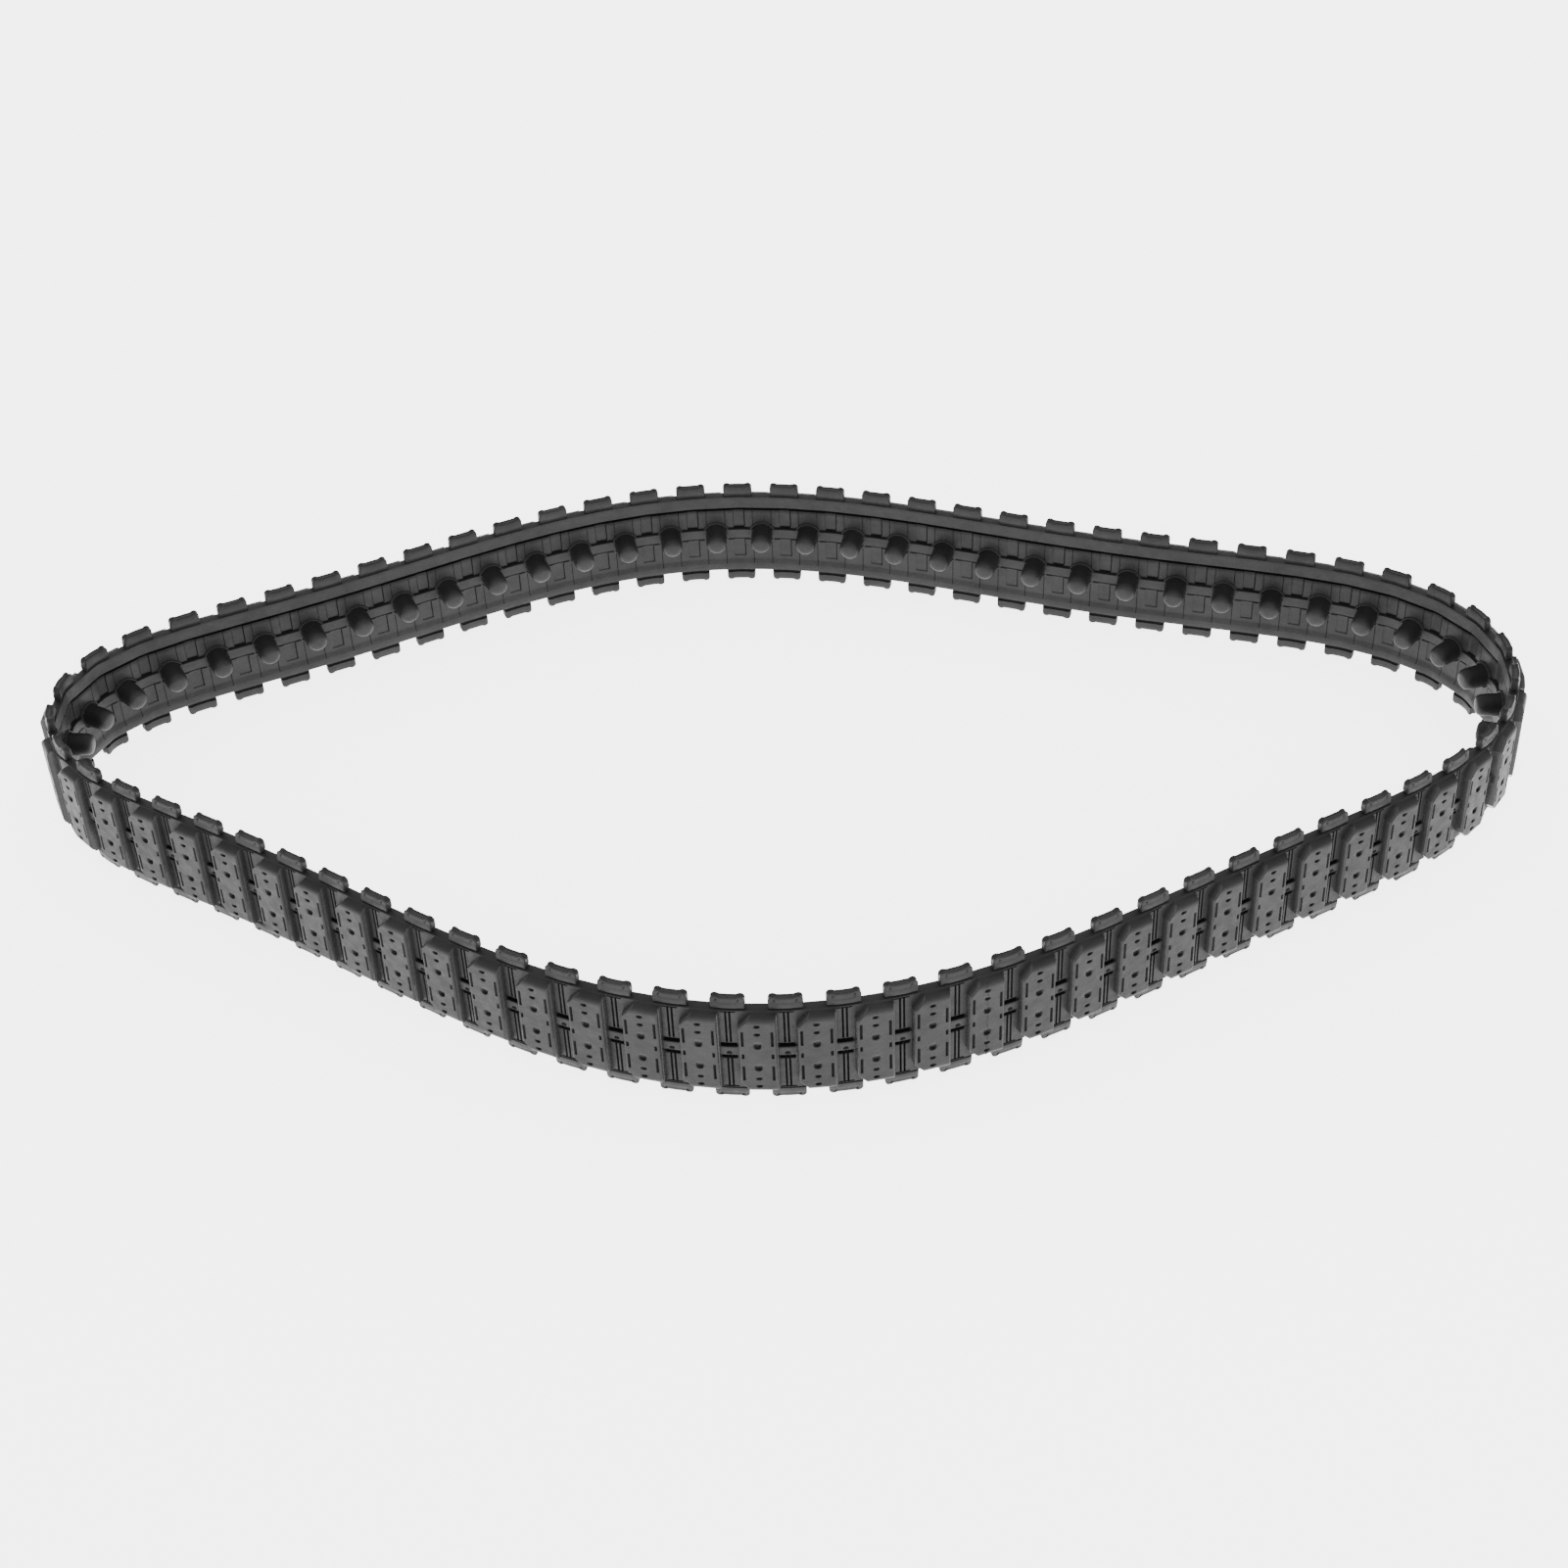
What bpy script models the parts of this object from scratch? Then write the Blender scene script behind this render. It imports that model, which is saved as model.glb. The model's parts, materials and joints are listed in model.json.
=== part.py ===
"""Endless moulded rubber track band, laid upright as a closed loop.

The band is one run of moulded shoes joined by thin flexing webs.  It is built
here as link pairs: every pair is one closed rubber solid that ends at the
middle of two webs.  Two pairs that meet face to face make a section, and the
web between two sections is a living hinge whose axis runs along +Z through
the neutral layer of the band.

Plan shape.  The heading of the band turns by b(k) at web k:

    b(k) = (360 deg - sum of the four bends) / N
           + sum_j  A_j * g_j(k) / sum(g_j),
    g_j(k) = exp(-(k - c_j)^2 / (2 w_j^2))      (k - c_j taken round the loop)

with a straight chord of one PITCH between webs.  Two of the bend totals are
trimmed by Newton steps so that the chain of chords closes on itself.

Frame: metres, +Z up along the width of the band, tread facing outward, loop
centred on X and Y, lowest edge at Z = 0.
"""
import math
import bpy
import bmesh
import numpy as np

# ---- driving dimensions (metres, degrees) ---------------------------------
PITCH = 0.0110            # web to web
N_LINKS = 68
PAIR = 2                  # links in one solid
BAND_W = 0.0209           # width of the band without the end tabs
BAND_T = 0.00210          # band thickness at the webs
FIELD_D = 0.00045         # depth of the inner recessed field
STRIP_H = 0.0030          # height of the raised wheel strip along each edge
BAR_H = 0.0024            # height of the raised bar in the middle
PAD_L = 0.0074            # pad length along the band
PAD_W = 0.0202            # pad width across the band
PAD_H = 0.00190           # pad height above the band
PAD_CHAMFER_T = 0.0030    # corner cut, along the band
PAD_CHAMFER_Z = 0.0026    # corner cut, across the band
PAD_EDGE = 0.00030        # slope of the pad's top rim
TAB_L = 0.0067            # end tab length along the band
TAB_H = 0.0031            # end tab height beyond the band
TAB_T = 0.00180           # end tab thickness
TAB_CORNER = 0.0007       # cut corner of the end tab
TAB_INSET = 0.00006       # step back of a tab's face at a web, behind the band's
HORN_D = 0.0050           # guide horn diameter
HORN_H = 0.0052           # guide horn height above the inner face
HORN_NOSE = 0.0032        # diameter at the tip of the horn
HORN_SIDES = 10
WEB_GAP = 0.00030         # gap at the web between two sections
WEB_RELIEF = 5.0          # slope of the web's two faces, degrees
SECTION = 2               # pairs that move as one section
JOIN_GAP = 0.00002        # gap at the web between two pairs of one section
ROOT_SECTION = 3          # section that holds the frame of the part
CUT_SECTION = 11          # the loop is open between this section and the next
# four bends of the plan shape: centre (web number), spread (webs), total turn
BEND_FRONT = (13.54, 4.93, 113.1)
BEND_RIGHT = (31.91, 3.15, 172.6)
BEND_BACK = (49.86, 3.88, 83.2)
BEND_LEFT = (64.45, 2.04, 149.6)
HEADING_0 = -35.9         # heading of the band before web 0
SPLICE_PAIR = 8           # pair that carries the joint of the moulded strip

N_PAIRS = N_LINKS // PAIR
AXIS_N = BAND_T / 2       # hinge axis, measured outward from the inner face


# ---- plan shape -------------------------------------------------------------
def bends(front_total, right_total):
    """Turn at every web, radians."""
    k = np.arange(N_LINKS)
    out = np.zeros(N_LINKS)
    used = 0.0
    for (c, w, a), total in ((BEND_FRONT, front_total), (BEND_RIGHT, right_total),
                             (BEND_BACK, BEND_BACK[2]), (BEND_LEFT, BEND_LEFT[2])):
        d = (k - c + N_LINKS / 2) % N_LINKS - N_LINKS / 2
        g = np.exp(-0.5 * (d / w) ** 2)
        out += total * g / g.sum()
        used += total
    return np.radians(out + (360.0 - used) / N_LINKS)


def chords(front_total, right_total):
    b = bends(front_total, right_total)
    head = math.radians(HEADING_0) + np.cumsum(b)
    step = PITCH * np.stack([np.cos(head), np.sin(head)], 1)
    pts = np.concatenate([[[0.0, 0.0]], np.cumsum(step, 0)])
    return pts, b, head


def plan():
    """Web positions, turns and chord headings of the closed loop."""
    f, r = BEND_FRONT[2], BEND_RIGHT[2]
    for _ in range(12):
        e0 = chords(f, r)[0][-1]
        ef = (chords(f + 0.01, r)[0][-1] - e0) / 0.01
        er = (chords(f, r + 0.01)[0][-1] - e0) / 0.01
        det = ef[0] * er[1] - ef[1] * er[0]
        f -= (e0[0] * er[1] - e0[1] * er[0]) / det
        r -= (ef[0] * e0[1] - ef[1] * e0[0]) / det
    pts, b, head = chords(f, r)
    return pts[:-1], b, head


WEBS, TURNS, HEADS = plan()


def tangent(i):
    """Unit direction of link i (from web i to web i + 1)."""
    return np.array([math.cos(HEADS[i]), math.sin(HEADS[i])])


def outward(i):
    t = tangent(i)
    return np.array([t[1], -t[0]])


def at(i, s, n, z):
    """Point on link i: s along the link from its middle, n outward from the
    inner face, z up from the middle of the band."""
    t, o = tangent(i), outward(i)
    mid = WEBS[i] + t * (PITCH / 2)
    p = mid + t * s + o * (n - AXIS_N)
    return (p[0], p[1], z)


def mitre(k, n):
    """Distance along the link by which the plane of web k leans at depth n."""
    return math.tan(TURNS[k % N_LINKS] / 2) * (n - AXIS_N)


def end_s(i, side, n, cut):
    """Position along link i of its end at depth n.  side -1 is web i and
    side +1 is web i + 1; cut adds the gap and the relief of a hinge web, or
    the fine gap between two pairs of one section."""
    k = i if side < 0 else i + 1
    s = PITCH / 2 + mitre(k, n)
    if cut and k % (PAIR * SECTION) == 0:
        s -= WEB_GAP / 2 / math.cos(TURNS[k % N_LINKS] / 2)
        s -= abs(n - AXIS_N) * math.tan(math.radians(WEB_RELIEF))
    elif cut:
        s -= JOIN_GAP / 2
    return side * s


# ---- mesh helpers -----------------------------------------------------------
class Shell:
    def __init__(self):
        self.v, self.f = [], []

    def ring(self, pts):
        base = len(self.v)
        self.v += [tuple(p) for p in pts]
        return list(range(base, base + len(pts)))

    def loft(self, rings, caps=True):
        for a, b in zip(rings, rings[1:]):
            n = len(a)
            for j in range(n):
                self.f.append([a[j], a[(j + 1) % n], b[(j + 1) % n], b[j]])
        if caps:
            self.f.append(list(reversed(rings[0])))
            self.f.append(list(rings[-1]))

    def object(self, name):
        me = bpy.data.meshes.new(name)
        me.from_pydata(self.v, [], self.f)
        bm = bmesh.new()
        bm.from_mesh(me)
        bmesh.ops.recalc_face_normals(bm, faces=bm.faces)
        bm.to_mesh(me)
        bm.free()
        ob = bpy.data.objects.new(name, me)
        bpy.context.scene.collection.objects.link(ob)
        return ob


def band_section():
    """Inner face with its strips and bar, outer face, and the hinge line on
    both edges: (n, z) pairs going once round."""
    h = BAND_W / 2
    return [(BAND_T, -h), (BAND_T, h), (AXIS_N, h), (0.0, h),
            (0.0, h - STRIP_H), (FIELD_D, h - STRIP_H),
            (FIELD_D, BAR_H / 2), (0.0, BAR_H / 2),
            (0.0, -BAR_H / 2), (FIELD_D, -BAR_H / 2),
            (FIELD_D, -h + STRIP_H), (0.0, -h + STRIP_H),
            (0.0, -h), (AXIS_N, -h)]


def band(shell, links):
    """Swept band of one pair, mitred at the inner web, relieved at its ends."""
    sec = band_section()
    rings = []
    first, last = links[0], links[-1]
    rings.append(shell.ring([at(first, end_s(first, -1, n, True), n, z) for n, z in sec]))
    for i in links[:-1]:
        rings.append(shell.ring([at(i, end_s(i, 1, n, False), n, z) for n, z in sec]))
    rings.append(shell.ring([at(last, end_s(last, 1, n, True), n, z) for n, z in sec]))
    shell.loft(rings, caps=False)
    for r, flip in ((rings[0], True), (rings[-1], False)):
        outer = [r[0], r[1], r[2], r[13]]
        inner = [r[13]] + r[2:13]
        for face in (outer, inner):
            shell.f.append(list(reversed(face)) if flip else face)


def pad(shell, i):
    """Tread pad with two cut corners on its trailing side."""
    l, w = PAD_L / 2, PAD_W / 2
    ct, cz = PAD_CHAMFER_T, PAD_CHAMFER_Z
    poly = [(-l, -w + cz), (-l + ct, -w), (l, -w), (l, w), (-l + ct, w), (-l, w - cz)]
    k = 1.0 - 2 * PAD_EDGE / PAD_L
    kz = 1.0 - 2 * PAD_EDGE / PAD_W
    rings = []
    for n, a, b in ((BAND_T - 0.0007, 1.0, 1.0), (BAND_T + PAD_H - PAD_EDGE, 1.0, 1.0),
                    (BAND_T + PAD_H, k, kz)):
        rings.append(shell.ring([at(i, s * a, n, z * b) for s, z in poly]))
    shell.loft(rings)


def horn(shell, i):
    """Guide horn: round peg with a blunt nose on the inner face."""
    rings = []
    for n, d in ((0.0010, HORN_D), (-0.68 * HORN_H, 0.96 * HORN_D), (-HORN_H, HORN_NOSE)):
        rings.append(shell.ring([at(i, d / 2 * math.cos(a), n, d / 2 * math.sin(a))
                                 for a in (2 * math.pi * (j + 0.5) / HORN_SIDES
                                           for j in range(HORN_SIDES))]))
    shell.loft(rings)


def tab_ring(shell, i, s_of_n, z0, z1):
    """Cross-section of an end tab: (n, z) hexagon at s = s_of_n(n)."""
    a = AXIS_N - TAB_T / 2
    b = AXIS_N + TAB_T / 2
    return shell.ring([at(i, s_of_n(n), n, z) for n, z in
                       ((a, z0), (AXIS_N, z0), (b, z0), (b, z1), (AXIS_N, z1), (a, z1))])


def tab_rings(shell, i, side, up, cut):
    """Half of an end tab, on the web at one end of link i, web plane first."""
    h = BAND_W / 2
    z0 = up * (h - 0.00025)
    z1 = up * (h + TAB_H)
    zc = up * (h + TAB_H - TAB_CORNER)
    full = PITCH / 2 - TAB_L / 2 + TAB_CORNER
    tip = PITCH / 2 - TAB_L / 2
    back = TAB_INSET if cut else 0.0
    return [tab_ring(shell, i, lambda n: end_s(i, side, n, cut) - side * back, z0, z1),
            tab_ring(shell, i, lambda n: side * full, z0, z1),
            tab_ring(shell, i, lambda n: side * tip, z0, zc)]


def tabs(shell, links):
    first, last = links[0], links[-1]
    for up in (-1, 1):
        for i, side in ((first, -1), (last, 1)):
            rings = tab_rings(shell, i, side, up, True)
            shell.loft(rings, caps=False)
            w = rings[0]
            shell.f.append([w[0], w[1], w[4], w[5]])
            shell.f.append([w[1], w[2], w[3], w[4]])
            shell.f.append(list(rings[-1]))
        for i in links[:-1]:
            left = tab_rings(shell, i, 1, up, False)
            right = tab_rings(shell, i + 1, -1, up, False)
            shell.loft(list(reversed(left)) + right[1:])


def material(name, rgb, rough):
    m = bpy.data.materials.new(name)
    m.use_nodes = True
    bsdf = next(n for n in m.node_tree.nodes if n.type == 'BSDF_PRINCIPLED')
    bsdf.inputs['Base Color'].default_value = (*rgb, 1.0)
    bsdf.inputs['Metallic'].default_value = 0.0
    bsdf.inputs['Roughness'].default_value = rough
    return m


def unite(base, other):
    mod = base.modifiers.new('unite', 'BOOLEAN')
    mod.operation = 'UNION'
    mod.solver = 'EXACT'
    mod.object = other
    dg = bpy.context.evaluated_depsgraph_get()
    me = bpy.data.meshes.new_from_object(base.evaluated_get(dg))
    base.modifiers.clear()
    base.data = me
    bpy.data.objects.remove(other, do_unlink=True)


# ---- assembly ---------------------------------------------------------------
def node_name(p):
    return 'splice_link_pair' if p == SPLICE_PAIR else 'link_pair_%02d' % (p + 1)


def origin_of(p, centre):
    """Point on the hinge axis of the pair's section (the root section: its
    middle web)."""
    step = PAIR * SECTION
    sections = N_PAIRS // SECTION
    g = p // SECTION
    d = (g - ROOT_SECTION) % sections
    if d == 0:
        k = g * step + step // 2
    elif d <= (CUT_SECTION - ROOT_SECTION) % sections:
        k = g * step
    else:
        k = (g + 1) * step
    w = WEBS[k % N_LINKS]
    return np.array([w[0] - centre[0], w[1] - centre[1], BAND_W / 2 + TAB_H])


def build():
    for ob in list(bpy.data.objects):
        bpy.data.objects.remove(ob, do_unlink=True)
    outline = []
    for i in range(N_LINKS):
        for s in (-PAD_L / 2 + PAD_EDGE, PAD_L / 2 - PAD_EDGE):
            outline.append(at(i, s, BAND_T + PAD_H, 0.0)[:2])
        for s in (-PAD_L / 2, PAD_L / 2):
            outline.append(at(i, s, BAND_T + PAD_H - PAD_EDGE, 0.0)[:2])
    outline = np.array(outline)
    centre = (outline.min(0) + outline.max(0)) / 2
    lift = BAND_W / 2 + TAB_H
    for p in range(N_PAIRS):
        links = [p * PAIR + j for j in range(PAIR)]
        name = node_name(p)
        body = Shell()
        band(body, links)
        ob = body.object(name)
        extra = Shell()
        for i in links:
            pad(extra, i)
            horn(extra, i)
        tabs(extra, links)
        unite(ob, extra.object(name + '_extra'))
        o = origin_of(p, centre)
        me = ob.data
        for v in me.vertices:
            v.co.x -= centre[0] + o[0]
            v.co.y -= centre[1] + o[1]
            v.co.z -= o[2] - lift
        ob.location = (o[0], o[1], o[2])
        me.name = name
        me.materials.clear()
        shade = 0.030 + 0.0012 * (p % 3)
        me.materials.append(material('rubber_' + name, (shade, shade, shade * 1.04), 0.62))
    bpy.context.view_layer.update()


build()
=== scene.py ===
"""Looks of the endless rubber track band: every pair of moulded shoes, the
flexing webs between them, and a plain studio.

The band is described link by link.  On a link, s runs along the band from the
middle of the pad, n outward from the inner face and z across the band from its
middle.  Round a web the same place is given by the distance d from the web.
All sizes are metres.
"""
import json
import math

import bpy
import numpy as np
from bpy.props import FloatProperty, FloatVectorProperty, PointerProperty
from bpy.types import Operator, Panel, PropertyGroup
from mathutils import Matrix, Vector

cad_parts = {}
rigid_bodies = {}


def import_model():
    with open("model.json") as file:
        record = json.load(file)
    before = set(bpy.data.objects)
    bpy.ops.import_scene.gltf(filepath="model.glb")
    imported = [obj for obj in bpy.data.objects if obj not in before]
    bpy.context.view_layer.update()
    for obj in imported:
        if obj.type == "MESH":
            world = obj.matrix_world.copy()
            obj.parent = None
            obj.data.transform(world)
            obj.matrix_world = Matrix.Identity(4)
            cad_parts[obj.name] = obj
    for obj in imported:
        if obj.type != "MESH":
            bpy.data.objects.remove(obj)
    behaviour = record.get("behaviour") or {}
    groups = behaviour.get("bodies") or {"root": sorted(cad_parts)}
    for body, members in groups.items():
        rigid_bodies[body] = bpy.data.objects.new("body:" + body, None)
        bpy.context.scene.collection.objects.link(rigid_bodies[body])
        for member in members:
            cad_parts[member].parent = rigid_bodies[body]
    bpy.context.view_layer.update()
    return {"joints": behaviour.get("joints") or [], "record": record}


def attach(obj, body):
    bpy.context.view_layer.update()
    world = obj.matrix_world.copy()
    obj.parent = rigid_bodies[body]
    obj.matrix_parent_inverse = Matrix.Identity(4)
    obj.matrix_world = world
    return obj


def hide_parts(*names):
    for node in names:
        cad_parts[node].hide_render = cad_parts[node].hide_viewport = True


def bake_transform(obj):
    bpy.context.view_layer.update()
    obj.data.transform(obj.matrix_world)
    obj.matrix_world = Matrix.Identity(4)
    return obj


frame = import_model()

bl_info = {
    "name": "Rubber track band",
    "version": (1, 0, 0),
    "blender": (4, 5, 0),
    "location": "3D View > Sidebar > Track band",
    "description": "Builds the moulded shoes, flexing webs and studio of a rubber track band",
    "category": "Object",
}

# ---- the band's own sizes ---------------------------------------------------
PITCH = 0.0110
LINKS = 68
BAND_W = 0.0209
BAND_T = 0.00210
AXIS_N = BAND_T / 2
PAD_L = 0.0074
PAD_W = 0.0202
PAD_H = 0.00190
TAB_H = 0.0031
FLEX = 0.0015             # half of the length over which a web bends
SEAM = 0.00155            # where a shoe's mesh ends, measured from the web
MID_Z = BAND_W / 2 + TAB_H
# centre (web number), spread (webs) and total turn (degrees) of the four bends
BEND_FRONT = (13.54, 4.93, 113.1)
BEND_RIGHT = (31.91, 3.15, 172.6)
BEND_BACK = (49.86, 3.88, 83.2)
BEND_LEFT = (64.45, 2.04, 149.6)
HEADING_0 = -35.9
SPLICE_LINK = 17
FIELD = 0.45              # millimetres that the field of the wheel side lies below its strips
# holes of a pad: distance from its middle, half length, half width (mm), share of the hole depth
HOLES = ((2.97, 0.84, 1.06, 1.0), (6.0, 0.68, 0.50, 0.8), (8.1, 0.68, 0.50, 0.8))
CAMERA_PLACE = (0.0089, -0.4541, 0.3959)
CAMERA_TARGET = (0.0089, -0.0085, 0.01355)
CAMERA_LENS = 63.6        # millimetres, for a sensor 36 mm wide
CAMERA_SHIFT = -0.027
CAMERA_ROLL = -1.85       # degrees


def turns(front_total, right_total):
    """Turn of the band at every web: an even share plus four bell curves."""
    k = np.arange(LINKS)
    out, used = np.zeros(LINKS), 0.0
    for (c, w, _), total in ((BEND_FRONT, front_total), (BEND_RIGHT, right_total),
                             (BEND_BACK, BEND_BACK[2]), (BEND_LEFT, BEND_LEFT[2])):
        d = (k - c + LINKS / 2) % LINKS - LINKS / 2
        bell = np.exp(-0.5 * (d / w) ** 2)
        out += total * bell / bell.sum()
        used += total
    return np.radians(out + (360.0 - used) / LINKS)


def chord_chain(front_total, right_total):
    """Webs of the chain of chords, one more than there are links."""
    b = turns(front_total, right_total)
    head = math.radians(HEADING_0) + np.cumsum(b)
    step = PITCH * np.stack([np.cos(head), np.sin(head)], 1)
    return np.concatenate([np.zeros((1, 2)), np.cumsum(step, 0)]), b, head


def laid_loop():
    """Webs, turns and headings of the loop, closed by Newton steps on the
    front and right bends."""
    f, r = BEND_FRONT[2], BEND_RIGHT[2]
    for _ in range(12):
        gap = chord_chain(f, r)[0][-1]
        by_f = (chord_chain(f + 0.01, r)[0][-1] - gap) / 0.01
        by_r = (chord_chain(f, r + 0.01)[0][-1] - gap) / 0.01
        det = by_f[0] * by_r[1] - by_f[1] * by_r[0]
        f -= (gap[0] * by_r[1] - gap[1] * by_r[0]) / det
        r -= (by_f[0] * gap[1] - by_f[1] * gap[0]) / det
    webs, b, head = chord_chain(f, r)
    return webs[:-1], b, head


WEBS, TURNS, HEADS = laid_loop()
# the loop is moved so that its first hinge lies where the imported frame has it
_hinge = next(j for j in frame["joints"] if j["name"] == "web_00_hinge")
WEBS = WEBS + np.array(_hinge["pos_m"][:2]) - WEBS[0]


def on_band(web, d, n, z):
    """World place of the point at distance d along the band from a web, n
    outward and z across.  The band is straight beyond FLEX on both sides and
    turns evenly between: heading = before + share * turn, and the neutral
    layer follows the circle that touches both chords."""
    web = np.asarray(web) % LINKS
    d, n, z = np.broadcast_arrays(np.asarray(d, float), n, z)
    turn, after = TURNS[web], HEADS[web]
    before = after - turn
    share = np.clip((d + FLEX) / (2 * FLEX), 0.0, 1.0)
    half = np.where(np.abs(turn) < 1e-9, 1e-9, turn) / 2
    g = half / np.tan(half)
    x = share * turn
    along = 2 * FLEX * g * share * np.sinc(x / math.pi)
    inward = 2 * FLEX * g * share * (x / 2) * np.sinc(x / 2 / math.pi) ** 2
    tb = np.stack([np.cos(before), np.sin(before)], -1)
    lb = np.stack([-np.sin(before), np.cos(before)], -1)
    head = before + x
    t = np.stack([np.cos(head), np.sin(head)], -1)
    o = np.stack([np.sin(head), -np.cos(head)], -1)
    over = np.where(d > FLEX, d - FLEX, np.where(d < -FLEX, d + FLEX, 0.0))
    p = (WEBS[web] - FLEX * tb + along[..., None] * tb + inward[..., None] * lb
         + over[..., None] * t + (n - AXIS_N)[..., None] * o)
    return np.concatenate([p, (z + MID_Z)[..., None]], -1)


def on_link(link, s, n, z):
    """World place of a point given from the middle of a link's pad."""
    s = np.asarray(s, float)
    first = on_band(link, s + PITCH / 2, n, z)
    last = on_band(link + 1, s - PITCH / 2, n, z)
    return np.where((s < 0)[..., None], first, last)


# ---- shaping helpers ----------------------------------------------------------
def ease(x, lo, hi):
    """Smooth step from 0 at lo to 1 at hi: 3u^2 - 2u^3."""
    u = np.clip((x - lo) / (hi - lo), 0.0, 1.0)
    return u * u * (3 - 2 * u)


def bump_between(x, lo, hi, soft):
    """1 between lo and hi, 0 outside, eased over soft inside each end."""
    return ease(x, lo, lo + soft) * (1 - ease(x, hi - soft, hi))


def most(*layers):
    """The largest of several layers at every grid point."""
    return np.maximum.reduce(np.broadcast_arrays(*layers))


class MeshParts:
    """Collects grids of points and joins them into one mesh."""

    def __init__(self):
        self.points, self.dark, self.quads, self.fans, self.count = [], [], [], [], 0

    def grid(self, p, dark=None):
        """Quads over an (nu, nv, 3) array, closed round its second direction.
        The last argument holds painted shade for the moulded recesses, and below 0 painted highlights on edges."""
        nu, nv = p.shape[:2]
        idx = np.arange(nu * nv).reshape(nu, nv) + self.count
        iu, iv = np.arange(nu - 1), np.arange(nv)
        a = idx[iu][:, iv]
        b = idx[iu + 1][:, iv]
        c = idx[iu + 1][:, (iv + 1) % nv]
        d = idx[iu][:, (iv + 1) % nv]
        self.quads.append(np.stack([a, b, c, d], -1).reshape(-1, 4))
        self.points.append(p.reshape(-1, 3))
        self.dark.append(np.broadcast_to(0.0 if dark is None else dark, (nu, nv)).ravel())
        self.count += nu * nv
        return idx

    def cap(self, ring, flip=False):
        ring = list(int(i) for i in ring)
        self.fans.append(ring[::-1] if flip else ring)

    def close_to_point(self, ring, point, flip=False):
        """Triangles from a closed ring of vertices to one point."""
        tip = self.count
        self.points.append(np.asarray(point, float).reshape(1, 3))
        self.dark.append(np.zeros(1))
        self.count += 1
        nxt = np.roll(ring, -1)
        tri = np.stack([ring, nxt, np.full(len(ring), tip)], -1)
        if flip:
            tri = tri[:, ::-1]
        self.fans += [list(map(int, t)) for t in tri]

    def build(self, name, material, sharp=38.0):
        """One mesh object at the origin from the collected grids."""
        quads = np.concatenate(self.quads).astype(np.int32)
        lengths = np.array([4] * len(quads) + [len(f) for f in self.fans], np.int32)
        corners = np.concatenate([quads.ravel()] + [np.array(f, np.int32) for f in self.fans])
        mesh = bpy.data.meshes.new(name)
        mesh.vertices.add(self.count)
        mesh.vertices.foreach_set("co", np.concatenate(self.points).astype(np.float32).ravel())
        mesh.loops.add(len(corners))
        mesh.loops.foreach_set("vertex_index", corners)
        mesh.polygons.add(len(lengths))
        mesh.polygons.foreach_set("loop_start", (np.cumsum(lengths) - lengths).astype(np.int32))
        mesh.polygons.foreach_set("use_smooth", np.ones(len(lengths), bool))
        mesh.update(calc_edges=True)
        mesh.set_sharp_from_angle(angle=math.radians(sharp))
        # painted shading of the points: painted shade in recesses, painted highlights on edges
        mesh.attributes.new("painted_shading_map", "FLOAT", "POINT").data.foreach_set(
            "value", np.concatenate(self.dark).astype(np.float32))
        mesh.materials.append(material)
        ob = bpy.data.objects.new(name, mesh)
        bpy.context.scene.collection.objects.link(ob)
        return ob


# ---- the moulded surface, in millimetres ---------------------------------------
END = SEAM * 1000
HALF = PITCH * 500
S_LINES = np.array([-3.95, -3.82, -3.74, -3.70, -3.65, -3.58, -3.48, -3.32, -3.13, -3.07,
                    -2.85, -2.63, -2.57, -2.28, -2.2, -2.12, -1.6, -1.1, -0.77, -0.70, -0.6,
                    -0.45, -0.25, 0.0])
S_LINES = np.concatenate([S_LINES, -S_LINES[-2::-1]])
D_LINES = np.array([-1.42, -1.32, -1.2, -0.9, -0.66, -0.58, -0.48, -0.36, -0.26, -0.18])
D_LINES = np.concatenate([D_LINES, [0.0], -D_LINES[::-1]])
Z_OUT = np.array([10.34, 10.26, 10.18, 10.12, 10.08, 10.02, 9.92, 9.78, 9.55, 9.1, 8.6, 8.5,
                  8.3, 8.1, 7.9, 7.7, 7.6, 7.35, 6.9, 6.62, 6.56, 6.45, 6.3, 6.1, 5.9, 5.7,
                  5.6, 5.5, 4.9, 4.3, 4.05, 3.95, 3.7, 3.35, 2.97, 2.76, 2.68, 2.3, 2.05,
                  1.95, 1.78, 1.7, 1.45, 1.2, 1.12, 0.85, 0.62, 0.56, 0.3])
Z_IN = np.array([10.2, 9.5, 8.72, 8.6, 7.7, 7.52, 7.46, 7.40, 7.34, 7.02, 6.66, 6.58, 6.50, 5.5,
                 3.8, 2.3, 2.02, 1.95, 1.88, 1.55, 1.48, 1.3, 1.22, 1.16, 0.9, 0.3])


def pad_outline(s_ref, z, cut_s, cut_z):
    """Place along the band of a grid line, pushed aside by the cut corners:
    shift = cut_s * (|z| - start) / cut_z beside the corner, fading to nothing
    at the pad's middle and at the web."""
    shift = cut_s * np.clip((np.abs(z) - (PAD_W * 500 - cut_z)) / cut_z, 0.0, 1.0)
    a, b, c, d = -3.95, -3.74, -3.32, -0.77
    t1 = np.clip((s_ref - a) / (b - a), 0, 1)
    t3 = np.clip((d - s_ref) / (d - c), 0, 1)
    push = np.where(s_ref < b, t1, np.where(s_ref < c, 1.0, t3))
    return s_ref + shift * push


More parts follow.
